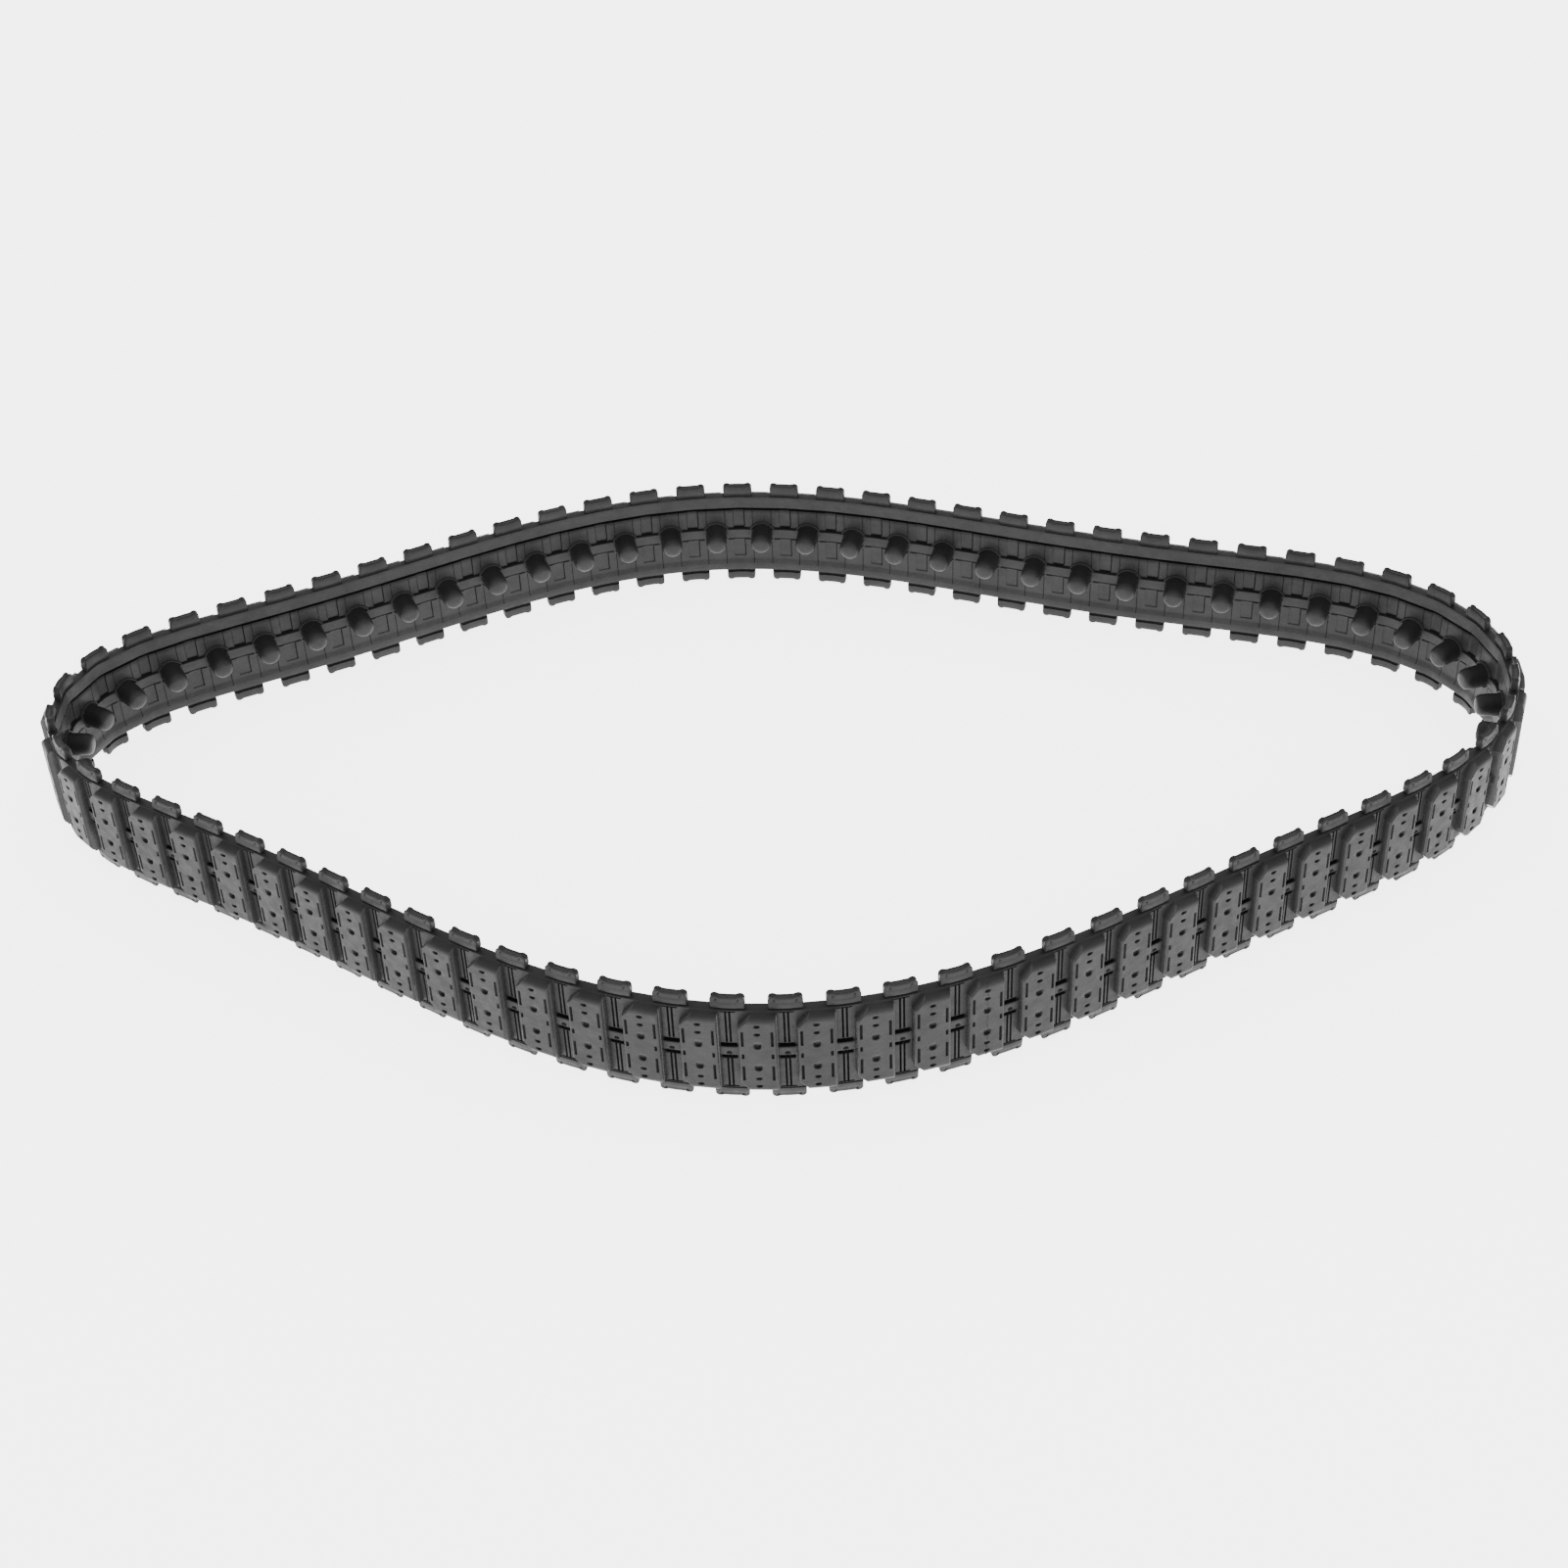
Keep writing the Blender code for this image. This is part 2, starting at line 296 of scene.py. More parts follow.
def outer_height(d, s, z, sizes):
    """n of the tread side: the larger of the channel floor and the pad, less
    the moulded holes, slots and grooves.

    pad = rim(distance from the pad's edge); hole = depth * inside(r) * slope,
    with r the elliptic distance and the slope deeper towards -z."""
    az = np.abs(z)
    top = (BAND_T + sizes.pad_height) * 1000
    floor = BAND_T * 1000 + 0.45 * (1 - ease(az, 1.08, 1.22))
    rise = top - BAND_T * 1000
    edge_s = PAD_L * 500 - np.abs(s)
    edge_z = (PAD_W * 500 - az) * 0.8
    ends = np.interp(edge_s, [-0.12, -0.04, 0.0, 0.05, 0.12, 0.22, 0.38],
                     [0.0, 0.015, 0.06, 0.76, 0.87, 0.955, 1.0])
    sides = np.interp(edge_z, [-0.12, 0.0, 0.08, 0.30, 0.62, 1.0],
                      [0.0, 0.10, 0.42, 0.74, 0.94, 1.0])
    pad = BAND_T * 1000 + rise * np.minimum(ends, sides)
    rib = bump_between(s, 3.60, 3.94, 0.08) * (1 - ease(az, 10.16, 10.3))
    n = most(floor, pad, BAND_T * 1000 + 1.15 * rib)
    deep = sizes.hole_depth * 1000
    dark = np.zeros(np.broadcast(s, z).shape)
    for zc, a, b, share in HOLES:
        for c in (zc, -zc):
            r = np.hypot(s / a, (z - c) / b)
            lean = np.clip(0.42 - 0.62 * (z - c) / b, 0.0, 1.0)
            n = n - deep * share * (1 - ease(r, 0.80, 1.0)) * lean
            # painted shadow: darker colour in a crescent along the lower rim of each hole
            dark = most(dark, bump_between(r, 0.62, 1.08, 0.14) * ease((c - z) / b, 0.25, 0.6))
    slot = bump_between(np.abs(s), 2.6, 3.1, 0.07)
    run = bump_between(az, 2.7, 6.6, 0.08) + (1 - ease(az, 0.55, 0.63))
    n = n - sizes.slot_depth * 1000 * slot * run
    # painted shade: darker colour in the slots
    dark = np.maximum(dark, slot * run)
    # channel between two pads
    groove = bump_between(np.abs(d), 0.2, 0.58, 0.09) * bump_between(az, 1.95, 10.0, 0.1)
    across = 1 - ease(np.abs(d), 1.35, 1.5)
    bar = (bump_between(z, 1.13, 1.78, 0.09) + bump_between(-z, 1.13, 2.28, 0.09)) * across
    rim = bump_between(az, 9.92, 10.26, 0.08) * (1 - ease(np.abs(d), 1.3, 1.5))
    dimple = 1 - ease(np.hypot(d / 0.6, (z + 0.5) / 0.42), 0.6, 1.0)
    cut = most(sizes.groove_depth * 1000 * groove, 1.15 * bar, 0.35 * rim)
    dimple = dimple * (1 - ease(az, 0.95, 1.1))
    foot = (1 - ease(edge_s, -0.3, -0.02)) * ease(edge_s, -0.75, -0.1) * (np.abs(d) > END)
    # painted shade: darker colour in the bars and groove of the channel, the rim groove, the dimple and at the
    # foot of the pads
    shade = (bump_between(z, 1.0, 1.96, 0.14) + bump_between(-z, 1.0, 2.6, 0.2)) * across
    dark = most(dark, shade, 0.9 * rim, 0.95 * dimple, 0.9 * groove, 0.55 * ease(az, 1.2, 1.5) * foot)
    # painted highlight: lighter colour on the pad's left end and cut corners, and on the rib
    painted_edge_highlight = bump_between(edge_s, 0.0, 0.2, 0.06) * (1 - ease(az, 9.9, 10.1)) * (s < 0)
    dark = dark - 2.0 * most(painted_edge_highlight, rib)
    return n - cut - 0.3 * dimple, dark


def inner_height(d, z):
    """n of the wheel side: strips and bar at 0, the field between them sunk,
    with its panels, lines and slots sunk further."""
    az, ad = np.abs(z), np.abs(d)
    sunk = (1 - ease(z, 7.36, 7.46)) * ease(z, -8.9, -7.2)
    field = FIELD * sunk * ease(az, 1.16, 1.24)
    step = bump_between(z, 6.52, 7.46, 0.07)
    line = bump_between(z, 1.2, 1.5, 0.08) + bump_between(-z, 1.2, 1.92, 0.08)
    slot = bump_between(z, 1.5, 1.96, 0.07) * (1 - ease(ad, 1.15, 1.3))
    inside = bump_between(az, 1.9, 6.6, 0.08)
    panel = 0.16 * (1 - ease(ad, 1.28, 1.36)) * inside
    side = bump_between(d, -1.44, -1.22, 0.06) * inside
    thin = bump_between(ad, 3.22, 3.38, 0.07) * ease(z, -8.75, -8.6) * (1 - ease(z, 7.3, 7.42))
    thin = thin * (az >= 1.5)
    cut = most(0.28 * line, 0.6 * slot, panel + 0.26 * side, 0.16 * thin, 0.75 * step)
    # painted shade: darker colour in the lines, slots, panel sides and thin grooves, and under the top strip
    dark = most(line, slot, 0.95 * side, 0.75 * thin, bump_between(z, 6.42, 7.5, 0.12))

    return field + cut, dark


def band_ring(sizes):
    """Values of z and of the side for the lines that go once round the band:
    tread side upwards, over the edge, wheel side downwards."""
    zo = np.concatenate([-Z_OUT, [0.0], Z_OUT[::-1]])
    zi = np.concatenate([Z_IN, [0.0], -Z_IN[::-1]])
    edge_z = np.array([10.42, 10.45, 10.45, 10.42])
    edge_n = np.array([2.02, 1.9, 0.2, 0.06])
    z = np.concatenate([zo, edge_z, zi, -edge_z[::-1]])
    kind = np.concatenate([np.zeros(len(zo)), np.ones(4), np.full(len(zi), 2), np.ones(4)])
    n_edge = np.concatenate([np.zeros(len(zo)), edge_n, np.zeros(len(zi)), edge_n[::-1]])
    return z, kind, n_edge


def band_surface(web, d, sizes):
    """World points of the moulded band for grid lines at distances d (mm)
    from the given webs, all round the band's cross-section."""
    z, kind, n_edge = band_ring(sizes)
    dd = np.broadcast_to(d[:, None], (len(d), len(z)))
    s_ref = np.where(dd > 0, dd - HALF, dd + HALF)
    on_tread = kind == 0
    s = np.where(on_tread & (s_ref >= -3.951) & (s_ref <= 0), pad_outline(
        s_ref, z[None, :], sizes.corner_cut * 1000, 2.75), s_ref)
    n_out, dark_out = outer_height(dd, s_ref, z, sizes)
    n_in, dark_in = inner_height(dd, z)
    n = np.where(on_tread, n_out, np.where(kind == 2, n_in, n_edge))
    # painted shading of the tread and wheel sides; the edges get none
    dark = np.where(on_tread, dark_out, np.where(kind == 2, dark_in, 0.0))
    along = dd + (s - s_ref)
    w = np.broadcast_to(np.asarray(web)[:, None], dd.shape)
    return on_band(w, along / 1000, n / 1000, np.broadcast_to(z / 1000, dd.shape)), dark


def shoe_stations(first):
    """Webs and distances of the grid lines of a link pair, end to end."""
    w, d = [], []
    for k, link in enumerate((first, first + 1)):
        w += list(np.where(S_LINES < 0, link, link + 1))
        d += list(np.where(S_LINES < 0, S_LINES + HALF, S_LINES - HALF))
        if k == 0:
            w += [link + 1] * len(D_LINES)
            d += list(D_LINES)
    return np.array(w), np.array(d)


def tab_surface(web, up, sizes):
    """World points of an end tab, grid (along, round).  Its top is
    height - dip in the middle - R + sqrt(R^2 - x^2) at the corners."""
    r, half = 0.9, 3.35
    d = np.array([-3.35, -3.34, -3.28, -3.15, -3.0, -2.8, -2.6, -2.45, -2.1, -1.7, -1.3, -0.9,
                  -0.5, -0.2])
    d = np.concatenate([d, -d[::-1]])
    x = np.clip(np.abs(d) - (half - r), 0, r)
    height = sizes.tab_height * 1000
    middle = 1 - ease(np.abs(d), 1.75, 2.25)
    top = BAND_W * 500 + height - 0.28 * middle - r + np.sqrt(r * r - x * x)
    thin = np.interp(half - np.abs(d), [0, 0.01, 0.07, 0.2], [0.62, 0.72, 0.9, 1.0])
    zr = BAND_W * 500 - 0.2
    # round the section: outer face upwards, over the top, inner face downwards
    share = np.array([0.0, 0.10, 0.17, 0.22, 0.52, 0.56, 0.62, 0.78, 0.84, 0.92, 0.98, 1.0, 0.985,
                      0.93, 0.93, 0.985, 1.0, 0.97, 0.90, 0.55, 0.34, 0.29, 0.10, 0.0])
    side = np.array([0.9, 0.62, 0.66, 0.9, 0.9, 0.86, 0.78, 0.76, 0.74, 0.72, 0.62, 0.48, 0.36,
                     0.22, -0.32, -0.48, -0.60, -0.76, -0.86, -0.9, -0.9, -0.62, -0.60, -0.9])
    # painted shade along the tab's root, where it meets the band, on both faces
    root = np.zeros(24)
    root[1:3] = 1.0
    root[21:23] = 1.0 if up < 0 else 0.35
    z = zr + (top - zr)[:, None] * share
    n = AXIS_N * 1000 + thin[:, None] * side
    # small pits beside the ears on the outer face; painted shade darkens the pits, and painted highlight lightens
    # the rim and the long recess between them
    pit = bump_between(np.abs(d), 1.7, 2.35, 0.2)[:, None] * np.isin(share, (0.78, 0.84)) * (side > 0)
    n = n - 0.22 * pit
    dark = most(root, 0.85 * pit) - 0.9 * middle[:, None] * (share == 0.93) - 0.9 * (
        (share > 0.95) & (side > 0.4))
    zz = up * z
    return on_band(web, np.broadcast_to(d[:, None], z.shape) / 1000, n / 1000, zz / 1000), dark


def add_tab(parts, web, up, sizes):
    p, dark = tab_surface(web, up, sizes)
    if up < 0:
        p, dark = p[:, ::-1], dark[:, ::-1]
    idx = parts.grid(p, dark=dark)
    parts.cap(idx[0])
    parts.cap(idx[-1], flip=True)


def add_band_run(parts, web, d, sizes):
    """Closed tube of band between the first and the last station."""
    p, dark = band_surface(web, d, sizes)
    idx = parts.grid(p, dark=dark)
    parts.cap(idx[0])
    parts.cap(idx[-1], flip=True)


def add_horn(parts, link, sizes):
    """Peg turned about its own axis: radius and depth along a profile from
    the collar over the side to the round nose."""
    rr, hh = sizes.horn_diameter * 500, sizes.horn_height * 1000
    prof = np.array([
        [rr + 0.72, 0.9], [rr + 0.72, 0.42], [rr + 0.68, 0.2], [rr + 0.56, 0.06], [rr + 0.42, 0.03],
        [rr + 0.30, 0.12], [rr + 0.22, 0.30], [rr + 0.12, 0.34], [rr + 0.02, 0.22], [rr - 0.02, 0.0],
        [rr - 0.03, -0.30 * hh], [rr - 0.08, -0.66 * hh], [rr - 0.17, -0.80 * hh], [rr - 0.40, -0.905 * hh],
        [rr - 0.80, -0.965 * hh], [rr - 1.35, -0.992 * hh], [rr - 1.9, -1.0 * hh]])
    a = np.linspace(0, 2 * math.pi, 28, endpoint=False)
    s = prof[:, :1] * np.cos(a)
    z = prof[:, :1] * np.sin(a)
    n = np.broadcast_to(prof[:, 1:], s.shape)
    p = on_link(link, s / 1000, n / 1000, z / 1000)
    idx = parts.grid(p)
    parts.cap(idx[0])
    parts.close_to_point(idx[-1], on_link(link, 0.0, -1.004 * hh / 1000, 0.0), flip=True)


def add_flash(parts, link, sizes):
    """Thin ragged ridge of flash where the ends of the strip were joined, up
    the middle of one pad.  Its line is s = sum of three sines of z and its
    height above the pad another sine, so that it wanders and breaks."""
    z = np.linspace(-10.1, 10.1, 150)
    mid = 0.15 * np.sin(2.1 * z) + 0.08 * np.sin(5.3 * z + 1.0) + 0.05 * np.sin(11.7 * z + 2.0)
    wide = 0.09 + 0.04 * np.sin(7.1 * z)
    tall = 0.09 + 0.06 * np.sin(9.3 * z + 0.5)
    across = np.array([-1.0, -0.45, 0.0, 0.5, 1.0])
    up = np.array([-0.25, 0.55, 1.0, 0.5, -0.25])
    s = mid[:, None] + wide[:, None] * across
    ground = outer_height(mid + HALF, mid, z, sizes)[0]
    n = ground[:, None] + np.where(up > 0, tall[:, None] * up, up)
    p = on_link(link, s / 1000, n / 1000, np.broadcast_to(z[:, None], s.shape) / 1000)
    idx = parts.grid(p[:, ::-1])
    parts.cap(idx[0])
    parts.cap(idx[-1], flip=True)


# ---- finish -----------------------------------------------------------------------
def node(tree, kind, **values):
    n = tree.nodes.new(kind)
    for key, value in values.items():
        setattr(n, key, value)
    return n


def rubber_material(name, finish, shade=1.0):
    """Moulded rubber: charcoal mottled with a little dust, fine moulding grain
    and slow waves in its bump, and gloss that changes from patch to patch.
    Its colour is darkened by painted shade in recesses and lightened by
    painted highlights on edges, both read from the points."""
    m = bpy.data.materials.new(name)
    m.use_nodes = True
    tree = m.node_tree
    tree.nodes.clear()
    out = node(tree, "ShaderNodeOutputMaterial")
    shader = node(tree, "ShaderNodeBsdfPrincipled")
    place = node(tree, "ShaderNodeTexCoord")
    patch = node(tree, "ShaderNodeTexNoise")
    patch.inputs["Scale"].default_value = 95.0
    patch.inputs["Detail"].default_value = 3.0
    grain = node(tree, "ShaderNodeTexNoise")
    grain.inputs["Scale"].default_value = 2600.0
    grain.inputs["Detail"].default_value = 4.0
    grain.inputs["Roughness"].default_value = 0.65
    wave = node(tree, "ShaderNodeTexNoise")
    wave.inputs["Scale"].default_value = 420.0
    wave.inputs["Detail"].default_value = 2.0
    for n in (patch, grain, wave):
        tree.links.new(place.outputs["Object"], n.inputs["Vector"])
    ramp = node(tree, "ShaderNodeValToRGB")
    c = np.array(finish.rubber_colour[:3]) * shade
    ramp.color_ramp.elements[0].position = 0.32
    ramp.color_ramp.elements[0].color = (*(c * 0.82), 1.0)
    ramp.color_ramp.elements[1].position = 0.72
    ramp.color_ramp.elements[1].color = (*(c * 1.22), 1.0)
    speck = node(tree, "ShaderNodeMath", operation="MULTIPLY_ADD")
    speck.inputs[1].default_value = 0.35
    tree.links.new(grain.outputs["Fac"], speck.inputs[0])
    tree.links.new(patch.outputs["Fac"], speck.inputs[2])
    shift = node(tree, "ShaderNodeMath", operation="SUBTRACT")
    shift.inputs[1].default_value = 0.17
    tree.links.new(speck.outputs[0], shift.inputs[0])
    tree.links.new(shift.outputs[0], ramp.inputs["Fac"])
    # painted shading from the points: painted shade darkens the colour, painted highlights lighten it
    painted_shading_map = node(tree, "ShaderNodeAttribute", attribute_name="painted_shading_map")
    fade = node(tree, "ShaderNodeMapRange", clamp=False)
    fade.inputs["To Min"].default_value = 1.0
    fade.inputs["To Max"].default_value = 0.18
    tree.links.new(painted_shading_map.outputs["Fac"], fade.inputs["Value"])
    tint = node(tree, "ShaderNodeVectorMath", operation="SCALE")
    tree.links.new(ramp.outputs["Color"], tint.inputs[0])
    tree.links.new(fade.outputs["Result"], tint.inputs["Scale"])
    tree.links.new(tint.outputs["Vector"], shader.inputs["Base Color"])
    gloss = node(tree, "ShaderNodeMapRange")
    gloss.inputs["From Min"].default_value = 0.3
    gloss.inputs["From Max"].default_value = 0.7
    gloss.inputs["To Min"].default_value = finish.roughness - 0.07
    gloss.inputs["To Max"].default_value = finish.roughness + 0.09
    tree.links.new(wave.outputs["Fac"], gloss.inputs["Value"])
    dull = node(tree, "ShaderNodeMath", operation="MULTIPLY_ADD")
    dull.inputs[1].default_value = 0.4
    tree.links.new(painted_shading_map.outputs["Fac"], dull.inputs[0])
    tree.links.new(gloss.outputs["Result"], dull.inputs[2])
    tree.links.new(dull.outputs[0], shader.inputs["Roughness"])
    rough = node(tree, "ShaderNodeBump")
    rough.inputs["Strength"].default_value = 0.35
    rough.inputs["Distance"].default_value = 0.00012
    tree.links.new(grain.outputs["Fac"], rough.inputs["Height"])
    soft = node(tree, "ShaderNodeBump")
    soft.inputs["Strength"].default_value = 0.30
    soft.inputs["Distance"].default_value = 0.0004
    tree.links.new(wave.outputs["Fac"], soft.inputs["Height"])
    tree.links.new(rough.outputs["Normal"], soft.inputs["Normal"])
    tree.links.new(soft.outputs["Normal"], shader.inputs["Normal"])
    shader.inputs["Specular IOR Level"].default_value = 0.15
    tree.links.new(shader.outputs["BSDF"], out.inputs["Surface"])
    return m


def rubber(key, finish, shade=1.0):
    name = "rubber_" + key
    return bpy.data.materials.get(name) or rubber_material(name, finish, shade)


# ---- names and bodies ----------------------------------------------------------------
def pair_node(pair):
    pair %= LINKS // 2
    return "splice_link_pair" if pair == SPLICE_LINK // 2 else "link_pair_%02d" % (pair + 1)


BODY_OF = {n: body for body, nodes in frame["record"]["behaviour"]["bodies"].items() for n in nodes}


def settle(ob, pair):
    """Let a piece ride with a link pair and stand for its solid."""
    name = pair_node(pair)
    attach(ob, BODY_OF[name])
    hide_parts(name)
    return ob


def settle_web(ob, web):
    """Attach a piece on a web between two pairs to the section of the first pair.
    Where the two pairs are parts of different sections joined by a joint, the
    piece is only baked where it stands and follows neither."""
    before, after = pair_node(web // 2 - 1), pair_node(web // 2)
    a, b = BODY_OF[before], BODY_OF[after]
    joined = any({j["parent"], j["child"]} == {a, b} for j in frame["joints"])
    if joined:
        start = on_band(web, -FLEX, AXIS_N, 0.0)
        end = on_band(web, FLEX, AXIS_N, 0.0)
        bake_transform(ob)
    else:
        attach(ob, a)
    return ob


# ---- settings ------------------------------------------------------------------------
class TrackBandSizes(PropertyGroup):
    """Sizes of the moulded details."""
    pad_height: FloatProperty(name="Pad height", description="Height of the tread pads above the band",
                              default=PAD_H, min=0.001, max=0.003, unit="LENGTH", precision=5)
    corner_cut: FloatProperty(name="Corner cut", description="Length along the band of a pad's cut corners",
                              default=0.0024, min=0.0, max=0.0025, unit="LENGTH", precision=5)
    hole_depth: FloatProperty(name="Hole depth", description="Depth of the scooped holes in the pads",
                              default=0.0007, min=0.0, max=0.0016, unit="LENGTH", precision=5)
    slot_depth: FloatProperty(name="Slot depth", description="Depth of the thin slots beside the holes",
                              default=0.00045, min=0.0, max=0.001, unit="LENGTH", precision=5)
    groove_depth: FloatProperty(name="Groove depth", description="Depth of the groove along each channel",
                                default=0.0007, min=0.0, max=0.0010, unit="LENGTH", precision=5)
    horn_diameter: FloatProperty(name="Horn diameter", description="Diameter of the guide horns",
                                 default=0.0050, min=0.004, max=0.0055, unit="LENGTH", precision=5)
    horn_height: FloatProperty(name="Horn height", description="Height of the guide horns above the wheel side",
                               default=0.0052, min=0.004, max=0.006, unit="LENGTH", precision=5)
    tab_height: FloatProperty(name="Tab height", description="Height of the end tabs beyond the band's edge",
                              default=TAB_H, min=0.002, max=0.0035, unit="LENGTH", precision=5)


class TrackBandFinish(PropertyGroup):
    """Colours and lights."""
    rubber_colour: FloatVectorProperty(name="Rubber colour", description="Base colour of the rubber",
                                       default=(0.0135, 0.0135, 0.0138), min=0.0, max=1.0, size=3, subtype="COLOR")
    roughness: FloatProperty(name="Roughness", description="Mean roughness of the rubber",
                             default=0.46, min=0.2, max=0.9, subtype="FACTOR")
    floor_colour: FloatVectorProperty(name="Floor colour", description="Colour of the studio floor",
                                      default=(0.92, 0.92, 0.92), min=0.0, max=1.0, size=3, subtype="COLOR")
    key_power: FloatProperty(name="Key light", description="Power of the large light in front",
                             default=4.0, min=0.0, max=200.0, unit="POWER")
    floor_glow: FloatProperty(name="Floor glow", description="Light given off by the studio floor",
                              default=3.8, min=0.0, max=20.0)
    wall_light: FloatProperty(name="Wall light", description="Strength of the surrounding light near the horizon",
                              default=1.0, min=0.0, max=10.0)
    ceiling_light: FloatProperty(name="Ceiling light", description="Strength of the surrounding light overhead",
                                 default=1.5, min=0.0, max=10.0)


# ---- operators -----------------------------------------------------------------------
class TRACKBAND_OT_shoes(Operator):
    """Build the link pairs: two shoes with the web between them, each pair one closed moulding"""
    bl_idname = "trackband.shoes"
    bl_label = "Tread shoes"

    def execute(self, context):
        sizes, finish = context.scene.track_band_sizes, context.scene.track_band_finish
        for pair in range(LINKS // 2):
            web, d = shoe_stations(2 * pair)
            parts = MeshParts()
            add_band_run(parts, web, d, sizes)
            name = "splice_shoe_pair" if pair == SPLICE_LINK // 2 else "shoe_pair_%02d" % (pair + 1)
            settle(parts.build(name, rubber("band", finish)), pair)
        return {"FINISHED"}


class TRACKBAND_OT_webs(Operator):
    """Build the flexing webs between the link pairs"""
    bl_idname = "trackband.webs"
    bl_label = "Flexing webs"

    def execute(self, context):
        sizes, finish = context.scene.track_band_sizes, context.scene.track_band_finish
        d = np.concatenate([[-END], D_LINES, [END]])
        for web in range(0, LINKS, 2):
            parts = MeshParts()
            add_band_run(parts, np.full(len(d), web), d, sizes)
            settle_web(parts.build("flex_web_%02d" % web, rubber("band", finish)), web)
        return {"FINISHED"}


class TRACKBAND_OT_tabs(Operator):
    """Build the end tabs on both edges of the band, one pair at every web"""
    bl_idname = "trackband.tabs"
    bl_label = "End tabs"

    def execute(self, context):
        sizes, finish = context.scene.track_band_sizes, context.scene.track_band_finish
        for web in range(LINKS):
            parts = MeshParts()
            for up in (1, -1):
                add_tab(parts, web, up, sizes)
            ob = parts.build("end_tabs_%02d" % web, rubber("tabs", finish), sharp=50.0)
            if web % 2:
                settle(ob, web // 2)
            else:
                settle_web(ob, web)
        return {"FINISHED"}


class TRACKBAND_OT_horns(Operator):
    """Build the guide horns with their collars, two on every link pair"""
    bl_idname = "trackband.horns"
    bl_label = "Guide horns"

    def execute(self, context):
        sizes, finish = context.scene.track_band_sizes, context.scene.track_band_finish
        for pair in range(LINKS // 2):
            parts = MeshParts()
            for link in (2 * pair, 2 * pair + 1):
                add_horn(parts, link, sizes)
            settle(parts.build("guide_horns_%02d" % (pair + 1), rubber("horns", finish), sharp=50.0), pair)
        return {"FINISHED"}


class TRACKBAND_OT_splice(Operator):
    """Build the ragged ridge of flash at the splice"""
    bl_idname = "trackband.splice"
    bl_label = "Splice flash"

    def execute(self, context):
        sizes, finish = context.scene.track_band_sizes, context.scene.track_band_finish
        parts = MeshParts()
        add_flash(parts, SPLICE_LINK, sizes)
        settle(parts.build("splice_flash", rubber("splice", finish, 1.5), sharp=60.0), SPLICE_LINK // 2)
        return {"FINISHED"}


class TRACKBAND_OT_stage(Operator):
    """Set up the pale floor, the soft lights and the camera"""
    bl_idname = "trackband.stage"
    bl_label = "Studio"

    def execute(self, context):
        finish = context.scene.track_band_finish
        mesh = bpy.data.meshes.new("studio_floor")
        half, low = 6.0, -0.0002
        mesh.from_pydata([(-half, -half, low), (half, -half, low), (half, half, low), (-half, half, low)],
                         [], [(0, 1, 2, 3)])
        floor = bpy.data.objects.new("studio_floor", mesh)
        context.scene.collection.objects.link(floor)
        m = bpy.data.materials.new("pale_floor")
        m.use_nodes = True
        shader = m.node_tree.nodes["Principled BSDF"]
        shader.inputs["Base Color"].default_value = (*finish.floor_colour, 1.0)
        shader.inputs["Roughness"].default_value = 0.9
        shader.inputs["Specular IOR Level"].default_value = 0.1
        shader.inputs["Emission Color"].default_value = (1.0, 1.0, 1.0, 1.0)
        shader.inputs["Emission Strength"].default_value = finish.floor_glow
        mesh.materials.append(m)
        world = bpy.data.worlds.new("studio_world")
        world.use_nodes = True
        back = world.node_tree.nodes["Background"]
        back.inputs["Color"].default_value = (1.0, 1.0, 1.0, 1.0)
        back.inputs["Strength"].default_value = 1.0
        # from the strength of the walls to that of the ceiling, by the height of the direction
        tree = world.node_tree
        where = tree.nodes.new("ShaderNodeTexCoord")
        split = tree.nodes.new("ShaderNodeSeparateXYZ")
        fall = tree.nodes.new("ShaderNodeMapRange")
        fall.interpolation_type = "SMOOTHSTEP"
        fall.inputs["From Min"].default_value = 0.05
        fall.inputs["From Max"].default_value = 0.55
        fall.inputs["To Min"].default_value = finish.wall_light
        fall.inputs["To Max"].default_value = finish.ceiling_light
        tree.links.new(where.outputs["Generated"], split.inputs[0])
        tree.links.new(split.outputs["Z"], fall.inputs["Value"])
        tree.links.new(fall.outputs["Result"], back.inputs["Strength"])
        context.scene.world = world
        for name, place, size, power in (
                ("key_light", (0.05, -0.95, 0.42), (1.3, 0.5), finish.key_power),):
            data = bpy.data.lights.new(name, "AREA")
            data.shape = "RECTANGLE"
            data.size, data.size_y = size
            data.energy = power
            lamp = bpy.data.objects.new(name, data)
            lamp.location = place
            aim = Vector((0.0, 0.0, 0.0)) - Vector(place)
            lamp.rotation_euler = aim.to_track_quat("-Z", "Y").to_euler()
            context.scene.collection.objects.link(lamp)
        add_camera(context)
        return {"FINISHED"}


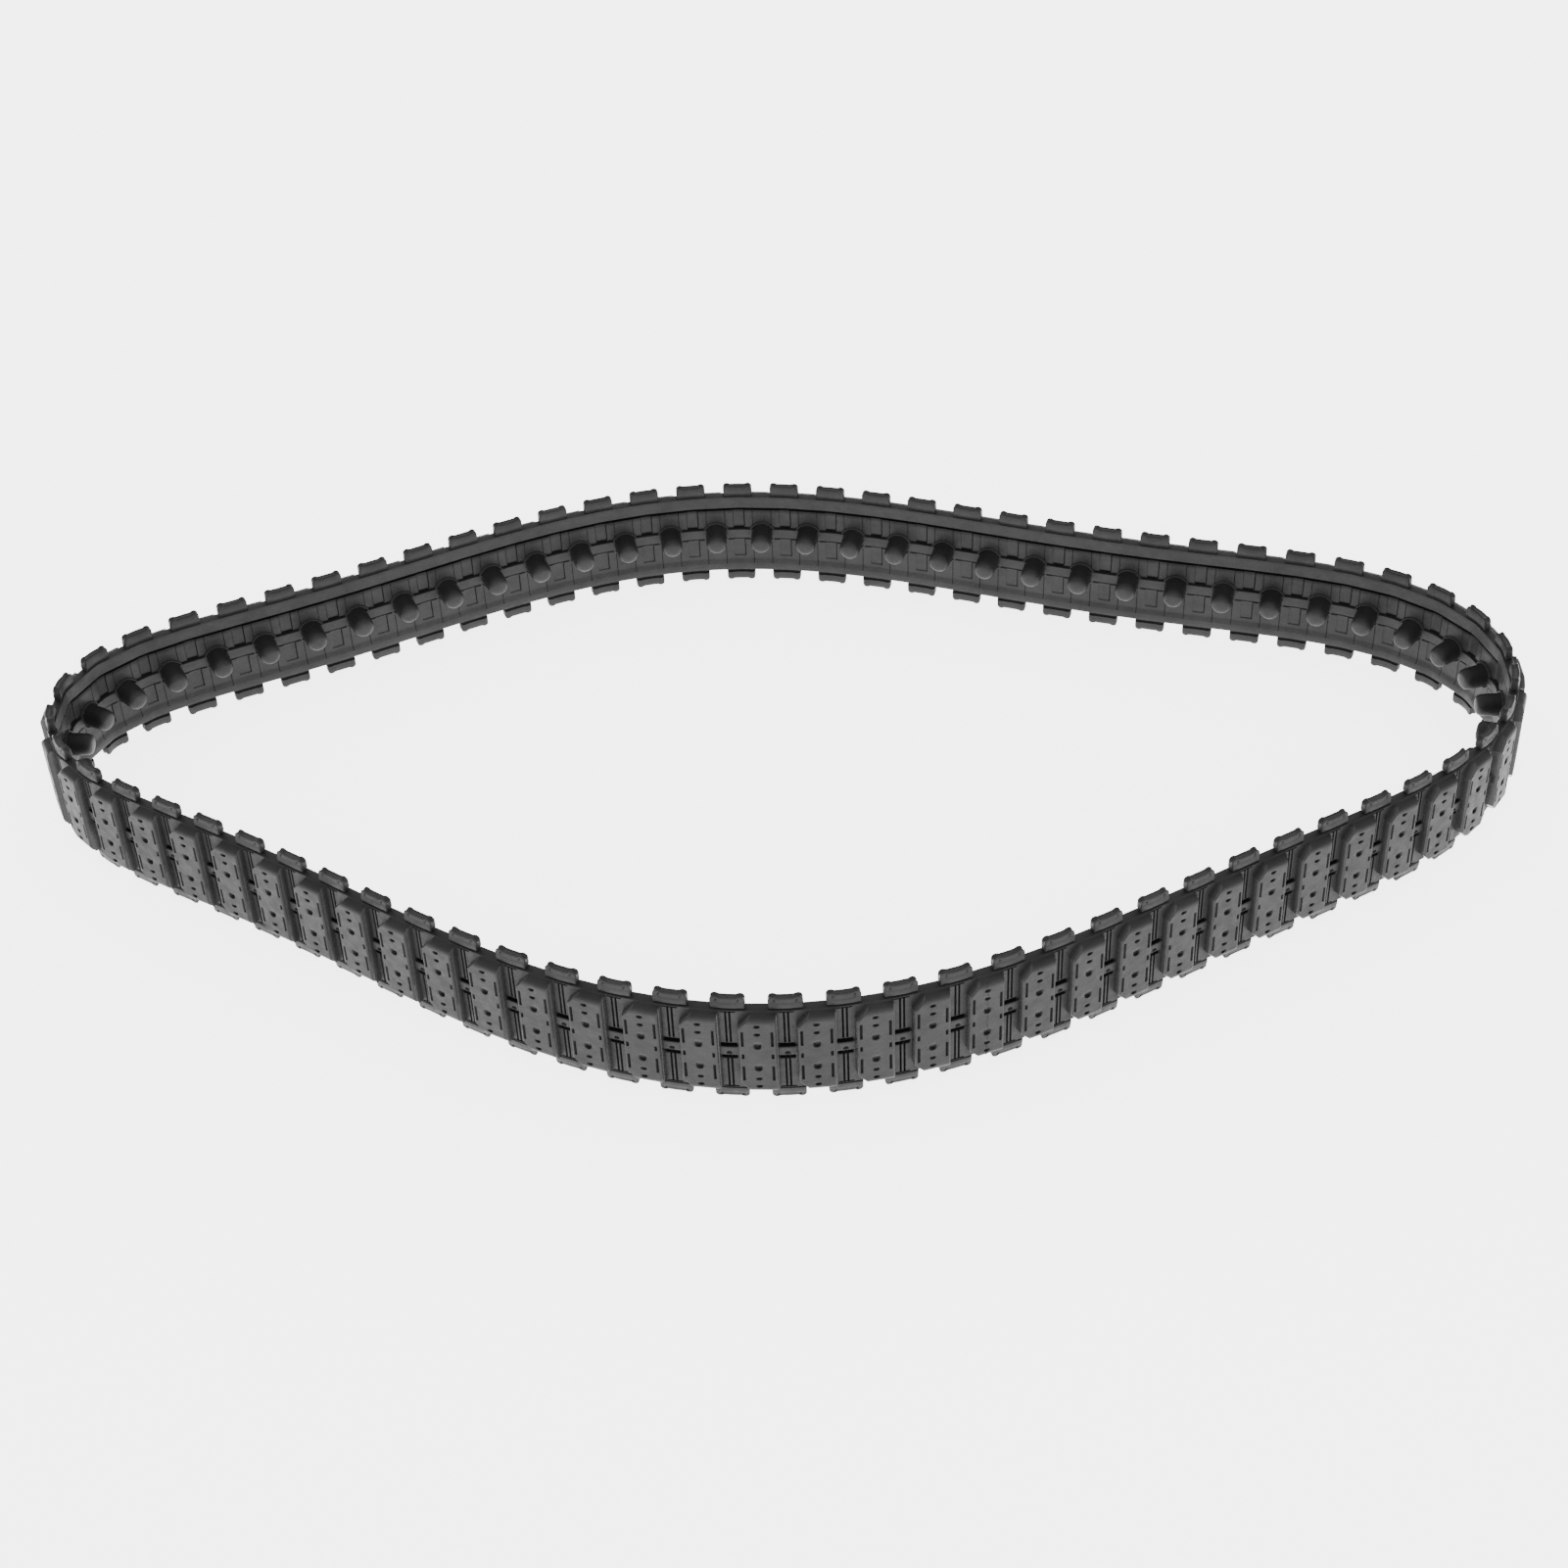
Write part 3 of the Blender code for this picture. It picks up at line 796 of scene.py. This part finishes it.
def add_camera(context):
    """Camera above the front run, looking down and a little rolled."""
    place, target = Vector(CAMERA_PLACE), Vector(CAMERA_TARGET)
    data = bpy.data.cameras.new("studio_camera")
    data.lens = CAMERA_LENS
    data.sensor_width = 36.0
    data.shift_x = CAMERA_SHIFT
    cam = bpy.data.objects.new("studio_camera", data)
    turn = (target - place).to_track_quat("-Z", "Y").to_matrix()
    turn = turn @ Matrix.Rotation(math.radians(CAMERA_ROLL), 3, "Z")
    cam.matrix_world = Matrix.Translation(place) @ turn.to_4x4()
    context.scene.collection.objects.link(cam)
    context.scene.camera = cam


class TRACKBAND_PT_panel(Panel):
    """Lists the band's sizes, its finish and its build steps"""
    bl_label = "Rubber track band"
    bl_idname = "TRACKBAND_PT_panel"
    bl_space_type = "VIEW_3D"
    bl_region_type = "UI"
    bl_category = "Track band"

    def draw(self, context):
        for group in (context.scene.track_band_sizes, context.scene.track_band_finish):
            box = self.layout.box()
            for key in group.bl_rna.properties.keys():
                if key not in {"rna_type", "name"}:
                    box.prop(group, key)
        for step in STEPS:
            self.layout.operator(step.bl_idname)


STEPS = (TRACKBAND_OT_shoes, TRACKBAND_OT_webs, TRACKBAND_OT_tabs, TRACKBAND_OT_horns, TRACKBAND_OT_splice,
         TRACKBAND_OT_stage)
CLASSES = (TrackBandSizes, TrackBandFinish) + STEPS + (TRACKBAND_PT_panel,)


def register():
    for cls in CLASSES:
        bpy.utils.register_class(cls)
    bpy.types.Scene.track_band_sizes = PointerProperty(type=TrackBandSizes)
    bpy.types.Scene.track_band_finish = PointerProperty(type=TrackBandFinish)


def unregister():
    del bpy.types.Scene.track_band_finish
    del bpy.types.Scene.track_band_sizes
    for cls in reversed(CLASSES):
        bpy.utils.unregister_class(cls)


def main():
    register()
    bpy.ops.trackband.shoes()
    bpy.ops.trackband.webs()
    bpy.ops.trackband.tabs()
    bpy.ops.trackband.horns()
    bpy.ops.trackband.splice()
    bpy.ops.trackband.stage()


if __name__ == "__main__":
    main()
